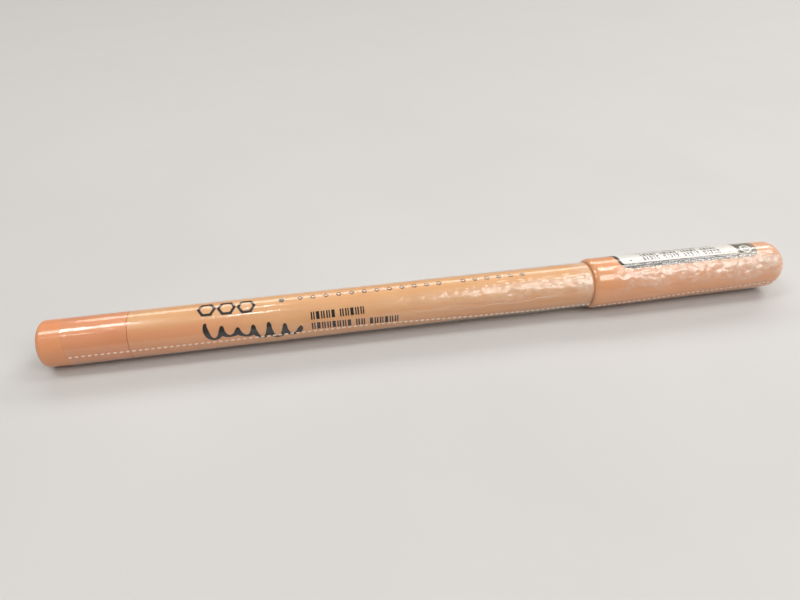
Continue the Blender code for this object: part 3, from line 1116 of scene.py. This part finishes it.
def build_label_symbol(pale):
    """A plain ring with a bar in it, on the label's black end."""
    points = []
    faces = []
    middle = LABEL_END - 2.2
    centre = label_front(middle) + 26.0
    turn = math.degrees(1 / CAP_RADIUS)
    ring = []
    for step in range(SYMBOL_STEPS + 1):
        angle = math.tau * step / SYMBOL_STEPS
        ring.append((
            middle + SYMBOL_RADIUS * math.cos(angle),
            centre + turn * SYMBOL_RADIUS * math.sin(angle),
        ))
    add_to_cap(stroke_rows(ring, [0.34] * len(ring), radius=CAP_RADIUS), PANEL_LAYER, points, faces)
    path = [(middle - 0.3 + 0.1 * step, centre) for step in range(7)]
    add_to_cap(stroke_rows(path, [0.5] * len(path), radius=CAP_RADIUS), PANEL_LAYER, points, faces)
    return finish_mesh("label_symbol", points, faces, [pale])


def build_label(black, white, ink, pale):
    points = []
    faces = []
    rows = panel_rows(LABEL_START, LABEL_END, label_front, label_back, 2.0, 60, 64)
    add_to_cap(rows, LABEL_LAYER, points, faces)
    base = finish_mesh("label_base", points, faces, [black])

    points = []
    faces = []
    rows = panel_rows(PANEL_START, PANEL_END, panel_front, panel_back, 0.5, 50, 56)
    add_to_cap(rows, PANEL_LAYER, points, faces)
    panel = finish_mesh("label_panel", points, faces, [white])
    return base, [panel, build_label_print(ink), build_label_symbol(pale)]


# ---------------------------------------------------------------- stage

FLOOR_HALF = 1.5
FLOOR_CELLS = 24
LIGHT_COLOUR = (1.0, 0.965, 0.92)


def build_floor(material):
    """A pale floor. It leans by the small angle at which a pencil with a wider cap lies on a table."""
    lip_x = TAIL_X + (CAP_FACE + CAP_BEVEL_LENGTH) * MM
    tail_x = TAIL_X + SLEEVE_START * MM
    tail_bottom = AXIS_Z - (BARREL_RADIUS + 0.16) * MM
    slope = (tail_bottom - CAD_BOX[0].z) / (tail_x - lip_x)
    points = []
    for row in range(FLOOR_CELLS + 1):
        for column in range(FLOOR_CELLS + 1):
            x = -FLOOR_HALF + 2 * FLOOR_HALF * column / FLOOR_CELLS
            y = -FLOOR_HALF + 2 * FLOOR_HALF * row / FLOOR_CELLS
            points.append((x, y, CAD_BOX[0].z + slope * (x - lip_x)))
    faces = []
    for row in range(FLOOR_CELLS):
        for column in range(FLOOR_CELLS):
            here = row * (FLOOR_CELLS + 1) + column
            faces.append([here, here + 1, here + FLOOR_CELLS + 2, here + FLOOR_CELLS + 1])
    mesh = bpy.data.meshes.new("floor")
    mesh.from_pydata(points, [], faces)
    mesh.materials.append(material)
    mesh.shade_smooth()
    floor = bpy.data.objects.new("floor", mesh)
    bpy.context.scene.collection.objects.link(floor)


def add_panel_light(name, x, y, size_x, size_y, watts, height=1.0):
    """A rectangular soft light overhead, in metres, turned about X to face the pencil's axis."""
    light = bpy.data.lights.new(name, "AREA")
    light.shape = "RECTANGLE"
    light.size = size_x
    light.size_y = size_y
    light.energy = watts
    light.color = LIGHT_COLOUR
    lamp = bpy.data.objects.new(name, light)
    lamp.location = (x, y, height)
    lean = math.atan2(y, height)
    lamp.rotation_euler = (-lean, 0.0, 0.0)
    lamp.visible_camera = False
    bpy.context.scene.collection.objects.link(lamp)
    return lamp


def build_lights():
    """Soft lights, placed so that they glint along the pencil where the photograph's do."""
    add_panel_light("back_strip", 0.25, 1.10, 1.70, 0.36, 7.0)
    add_panel_light("left_panel", -0.60, 0.05, 0.50, 0.22, 3.8)
    add_panel_light("front_left_panel", -0.62, -0.42, 0.36, 0.06, 0.5)
    add_panel_light("right_panel", 0.72, 0.12, 0.62, 0.30, 3.8)
    add_panel_light("front_right_panel", 0.80, -0.70, 1.00, 0.50, 7.2)
    add_panel_light("middle_panel", -0.145, -0.25, 0.080, 0.08, 0.38)
    add_panel_light("middle_back_panel", -0.120, 0.30, 0.060, 0.05, 0.19)
    add_panel_light("cap_end_panel", 1.20, 0.80, 0.72, 0.22, 4.4)
    add_panel_light("ceiling", 0.0, 0.20, 2.6, 1.5, 1.0, height=1.5)
    softbox = add_panel_light("softbox", 0.45, -0.70, 1.7, 0.9, 5.2)
    softbox.visible_glossy = False
    world = bpy.data.worlds.new("studio")
    world.use_nodes = True
    background = world.node_tree.nodes["Background"]
    background.inputs["Color"].default_value = (0.95, 0.94, 0.93, 1.0)
    background.inputs["Strength"].default_value = 0.22
    bpy.context.scene.world = world


def build_camera():
    data = bpy.data.cameras.new("camera")
    data.lens = CAMERA_LENS
    data.sensor_width = 36.0
    data.clip_start = 0.005
    camera = bpy.data.objects.new("camera", data)
    camera.location = (TAIL_X + CAMERA_STATION * MM, -CAMERA_FRONT * MM, AXIS_Z + CAMERA_HEIGHT * MM)
    camera.rotation_euler = (math.radians(90.0 - CAMERA_PITCH), 0.0, math.radians(-CAMERA_YAW))
    bpy.context.scene.collection.objects.link(camera)
    bpy.context.scene.camera = camera
    bpy.context.scene.view_settings.view_transform = "Standard"


# ---------------------------------------------------------------- the object

def attach(piece, body, slot, *nodes):
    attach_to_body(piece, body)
    if nodes:
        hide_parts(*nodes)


def main():
    build_camera()
    build_lights()
    build_floor(floor_material("floor_paint"))

    # The tan barrel's lower half is painted deeper, as shade
    tan = moulded_plastic("tan_plastic", *TAN, 0.3, 0.4, 0.8, 0.12, shade_tone=TAN_PAINTED_SHADE)
    copper = moulded_plastic("copper_plastic", *COPPER, 0.2, 0.28, 0.2, 0.08)
    tail_copper = moulded_plastic("tail_plastic", *TAIL_COPPER, 0.15, 0.22, 0.25, 0.05)
    seal_white = moulded_plastic("seal_plastic", *SEAL_WHITE, 0.4, 0.5, 0.2, 0.1)
    # Each film's fold line and the top of its gathered end are painted paler, as highlight and sheen
    film = clear_film(
        "barrel_clear_film", crinkled=(50.0, 92.0), gathered=(92.4, 96.3), low_edge=-16.0,
        crease_haze=0.20, crease_sheen=0.03, end_haze_and_sheen=0.17, loose_haze=0.045, fold_highlight=0.28,
    )
    cap_clear = clear_film(
        "cap_clear_film", crinkled=(99.0, 106.0), gathered=(119.0, 135.0), low_edge=-28.0,
        crease_haze=0.29, crease_sheen=0.045, end_haze_and_sheen=0.17, loose_haze=0.03, fold_highlight=0.0,
    )
    stressed = stressed_film("stressed_film")
    # The film's edges are partly stress whitening, partly a painted highlight
    edge = film_edge_whitening_and_glint("film_edge")
    black_ink = printed("black_ink", *BLACK_INK, 0.35, 0.5, specular=0.15)
    grey_ink = printed("grey_ink", *GREY_INK, 0.35, 0.5, specular=0.25)
    label_black = printed("label_black", *LABEL_BLACK, 0.18, 0.3)
    label_white = printed("label_white", *LABEL_WHITE, 0.35, 0.5)

    attach(build_barrel(tan), "pencil", "barrel_plastic", "barrel")
    attach(build_tail_plug(tail_copper), "pencil", "tail_plastic", "tail_plug")
    attach(build_core(waxy_core("core_wax")), "pencil", "core_wax", "liner_core")
    attach(build_barrel_sleeve(film, edge), "pencil", "clear_film", "barrel_film")
    attach(build_cap(copper), "cap", "cap_plastic", "cap_shell")
    attach(build_seal(seal_white), "cap", "seal_plastic", "cap_inner_seal")
    attach(build_cap_sleeve(cap_clear, edge), "cap", "clear_film", "cap_film")

    attach(build_perforations("barrel_perforation", SLEEVE_START + 1.4, SLEEVE_PART - 0.4,
                              barrel_sleeve_surface, stressed), "pencil", "clear_film")
    attach(build_perforations("cap_perforation", CAP_SLEEVE_START + 1.6, CAP_SLEEVE_END - 0.5,
                              cap_sleeve_surface, stressed), "cap", "clear_film")
    for piece in build_barrel_print(black_ink, grey_ink):
        attach(piece, "pencil", "barrel_plastic")
    base, parts = build_label(label_black, label_white, grey_ink, label_white)
    attach(base, "cap", "label_print", "cap_label")
    for piece in parts:
        attach(piece, "cap", "label_print")


main()
